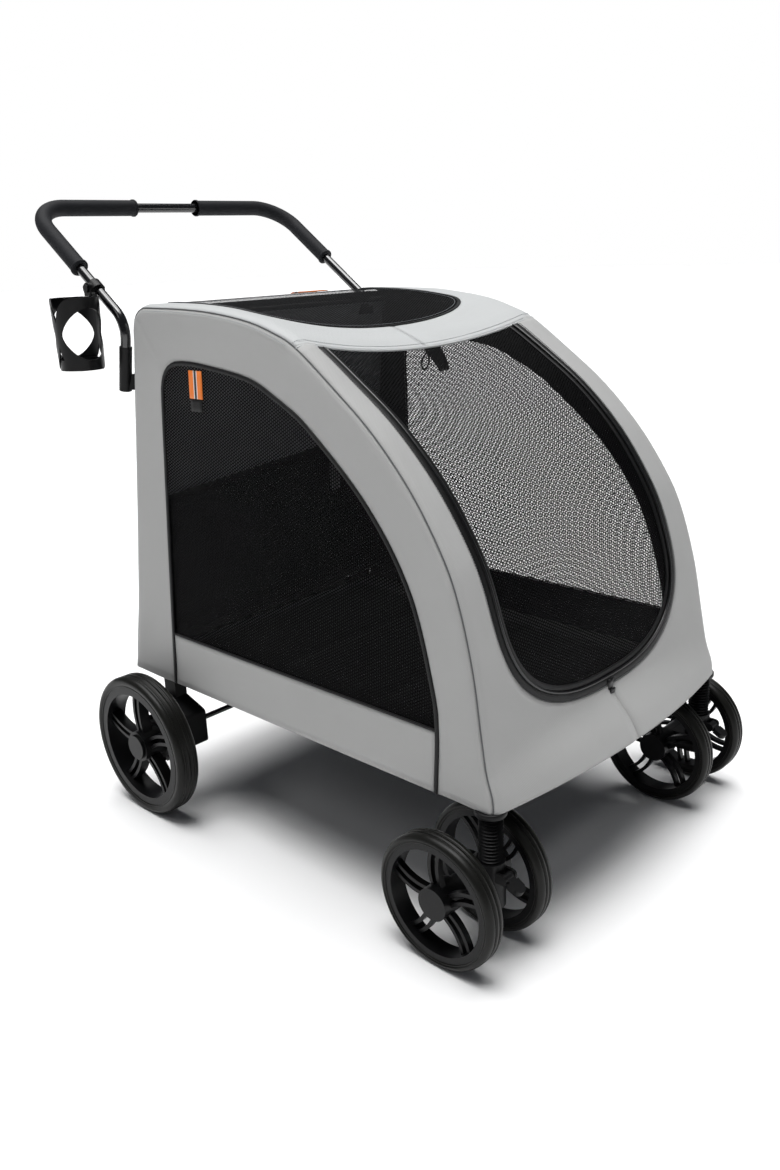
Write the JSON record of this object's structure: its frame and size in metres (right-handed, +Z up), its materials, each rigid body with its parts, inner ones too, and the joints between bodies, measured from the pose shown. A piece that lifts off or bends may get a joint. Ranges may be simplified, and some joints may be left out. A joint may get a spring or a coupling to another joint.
{
  "type": "folding pet stroller",
  "caption": "Folding pet stroller with a cloth cabin, mesh windows and front door, push handle, cup holder, large rear wheels and sprung twin-wheel swivel casters.",
  "frame": {"origin": "middle of the footprint's bounding box, on the ground", "axes": "+Z is up; -Y is forward, the way it is pushed, so the handle is at +Y; +X is across, away from the cup holder. Left (-X) and right (+X) in the node names are as seen from in front of the stroller"},
  "size_m": [0.741, 1.034, 0.9985],
  "materials": {
    "powder_coated_steel": "black powder-coated steel tube",
    "zinc_steel": "zinc-plated steel",
    "moulded_nylon": "moulded black nylon, fine spark texture",
    "rim_plastic": "moulded black plastic, satin",
    "tyre_rubber": "moulded black foam rubber",
    "bellows_rubber": "moulded black rubber",
    "foam_grip": "black closed-cell foam",
    "grey_polyester": "light cool-grey woven polyester",
    "warm_grey_polyester": "light grey woven polyester",
    "black_mesh": "black knitted mesh",
    "black_webbing": "black woven webbing",
    "snap_plastic": "moulded black plastic",
    "zip_metal": "black lacquered zinc",
    "floor_fibreboard": "hardboard",
    "floor_cloth": "black oxford cloth over foam"
  },
  "bodies": {
    "base": {"base_crossbars": "powder_coated_steel", "left_base_rail": "powder_coated_steel", "right_base_rail": "powder_coated_steel", "rear_hinge_plates": "powder_coated_steel", "front_hinge_plates": "powder_coated_steel", "hinge_pins": "zinc_steel", "left_caster_socket": "moulded_nylon", "right_caster_socket": "moulded_nylon", "floor_board": "floor_fibreboard", "floor_pad": "floor_cloth", "left_rear_bracket": "moulded_nylon", "right_rear_bracket": "moulded_nylon", "rear_axles": "zinc_steel", "left_side_cover": "grey_polyester", "right_side_cover": "grey_polyester", "left_mesh_window": "black_mesh", "right_mesh_window": "black_mesh", "front_cover": "warm_grey_polyester", "roof_cover": "grey_polyester", "roof_panel": "black_mesh", "rear_cover": "grey_polyester"},
    "rear_frame": {"left_rear_post": "powder_coated_steel", "right_rear_post": "powder_coated_steel", "post_crossbar": "powder_coated_steel", "handle_tube": "powder_coated_steel", "left_grip": "foam_grip", "right_grip": "foam_grip", "left_handle_socket": "moulded_nylon", "right_handle_socket": "moulded_nylon", "cup_clamp": "moulded_nylon"},
    "fold_latch": {"fold_latch": "moulded_nylon"},
    "arch": {"arch_hoop": "powder_coated_steel"},
    "cup_holder": {"cup_cage": "moulded_nylon"},
    "brake": {"brake_bar": "powder_coated_steel"},
    "door": {"front_door": "black_mesh"},
    "zip_puller": {"zip_puller": "zip_metal"},
    "tether": {"tether_strap": "black_webbing"},
    "snap_hook": {"tether_snap": "snap_plastic"},
    "left_rear_wheel": {"left_rear_rim": "rim_plastic", "left_rear_tyre": "tyre_rubber"},
    "left_caster_stem": {"left_caster_stem": "powder_coated_steel", "left_caster_bellows": "bellows_rubber"},
    "left_caster": {"left_caster_head": "moulded_nylon", "left_caster_axle": "zinc_steel"},
    "left_caster_lever": {"left_caster_lever": "moulded_nylon"},
    "left_outer_front_wheel": {"left_outer_front_rim": "rim_plastic", "left_outer_front_tyre": "tyre_rubber"},
    "left_inner_front_wheel": {"left_inner_front_rim": "rim_plastic", "left_inner_front_tyre": "tyre_rubber"},
    "right_rear_wheel": {"right_rear_rim": "rim_plastic", "right_rear_tyre": "tyre_rubber"},
    "right_caster_stem": {"right_caster_stem": "powder_coated_steel", "right_caster_bellows": "bellows_rubber"},
    "right_caster": {"right_caster_head": "moulded_nylon", "right_caster_axle": "zinc_steel"},
    "right_caster_lever": {"right_caster_lever": "moulded_nylon"},
    "right_outer_front_wheel": {"right_outer_front_rim": "rim_plastic", "right_outer_front_tyre": "tyre_rubber"},
    "right_inner_front_wheel": {"right_inner_front_rim": "rim_plastic", "right_inner_front_tyre": "tyre_rubber"}
  },
  "joints": [
    {"name": "fold", "type": "hinge", "parent": "base", "child": "rear_frame", "pos_m": [0, 0.29318, 0.262], "axis": [1, 0, 0], "range_deg": [0, 78], "deforming": ["left_side_cover", "right_side_cover", "left_mesh_window", "right_mesh_window", "front_cover", "roof_cover", "roof_panel", "rear_cover", "front_door"]},
    {"name": "arch_fold", "type": "hinge", "parent": "base", "child": "arch", "pos_m": [0, -0.44782, 0.262], "axis": [1, 0, 0], "range_deg": [-36, 0]},
    {"name": "fold_latch", "type": "slide", "parent": "rear_frame", "child": "fold_latch", "axis": [0, 0.1184, -0.993], "range_m": [0, 0.018], "stiffness_N_per_m": 400, "springref_m": -0.01},
    {"name": "left_rear_wheel_spin", "type": "hinge", "parent": "base", "child": "left_rear_wheel", "pos_m": [-0.3477, 0.21618, 0.12065], "axis": [1, 0, 0], "continuous": true},
    {"name": "right_rear_wheel_spin", "type": "hinge", "parent": "base", "child": "right_rear_wheel", "pos_m": [0.3477, 0.21618, 0.12065], "axis": [1, 0, 0], "continuous": true},
    {"name": "left_caster_swivel", "type": "hinge", "parent": "base", "child": "left_caster_stem", "pos_m": [-0.2805, -0.46413, 0.15], "axis": [0, 0, 1], "continuous": true},
    {"name": "left_caster_spring", "type": "slide", "parent": "left_caster_stem", "child": "left_caster", "axis": [0, 0, 1], "range_m": [0, 0.014], "stiffness_N_per_m": 6000, "springref_m": -0.014, "deforming": ["left_caster_bellows"]},
    {"name": "left_caster_lock", "type": "hinge", "parent": "left_caster", "child": "left_caster_lever", "pos_m": [-0.2805, -0.49062, 0.131], "axis": [-1, 0, 0], "range_deg": [0, 30]},
    {"name": "left_outer_front_wheel_spin", "type": "hinge", "parent": "left_caster", "child": "left_outer_front_wheel", "pos_m": [-0.3342, -0.42173, 0.09525], "axis": [1, 0, 0], "continuous": true},
    {"name": "left_inner_front_wheel_spin", "type": "hinge", "parent": "left_caster", "child": "left_inner_front_wheel", "pos_m": [-0.2268, -0.42173, 0.09525], "axis": [1, 0, 0], "continuous": true},
    {"name": "right_caster_swivel", "type": "hinge", "parent": "base", "child": "right_caster_stem", "pos_m": [0.2805, -0.46413, 0.15], "axis": [0, 0, 1], "continuous": true},
    {"name": "right_caster_spring", "type": "slide", "parent": "right_caster_stem", "child": "right_caster", "axis": [0, 0, 1], "range_m": [0, 0.014], "stiffness_N_per_m": 6000, "springref_m": -0.014, "deforming": ["right_caster_bellows"]},
    {"name": "right_caster_lock", "type": "hinge", "parent": "right_caster", "child": "right_caster_lever", "pos_m": [0.2805, -0.49062, 0.131], "axis": [-1, 0, 0], "range_deg": [0, 30]},
    {"name": "right_outer_front_wheel_spin", "type": "hinge", "parent": "right_caster", "child": "right_outer_front_wheel", "pos_m": [0.3342, -0.42173, 0.09525], "axis": [1, 0, 0], "continuous": true},
    {"name": "right_inner_front_wheel_spin", "type": "hinge", "parent": "right_caster", "child": "right_inner_front_wheel", "pos_m": [0.2268, -0.42173, 0.09525], "axis": [1, 0, 0], "continuous": true},
    {"name": "brake_pedal", "type": "hinge", "parent": "base", "child": "brake", "pos_m": [0, 0.16917, 0.15], "axis": [-1, 0, 0], "range_deg": [0, 28.74]},
    {"name": "cup_tilt", "type": "hinge", "parent": "rear_frame", "child": "cup_holder", "pos_m": [-0.288, 0.32617, 0.857], "axis": [1, 0, 0], "range_deg": [-80, 80]},
    {"name": "door_flap", "type": "hinge", "parent": "arch", "child": "door", "pos_m": [0, -0.18033, 0.752], "axis": [-1, 0, 0], "range_deg": [0, 110]},
    {"name": "zip_puller_swing", "type": "hinge", "parent": "base", "child": "zip_puller", "pos_m": [0, -0.46482, 0.289], "axis": [-1, 0, 0], "range_deg": [0, 90]},
    {"name": "tether_swing", "type": "hinge", "parent": "arch", "child": "tether", "pos_m": [0.012, -0.11903, 0.757], "axis": [1, 0, 0], "range_deg": [-35, 35]},
    {"name": "snap_hook_swing", "type": "hinge", "parent": "tether", "child": "snap_hook", "pos_m": [0.012, -0.11903, 0.731], "axis": [1, 0, 0], "range_deg": [-60, 60]}
  ],
  "couplings": [
    {"joint": "arch_fold", "follows": "fold", "ratio": -0.46154}
  ]
}
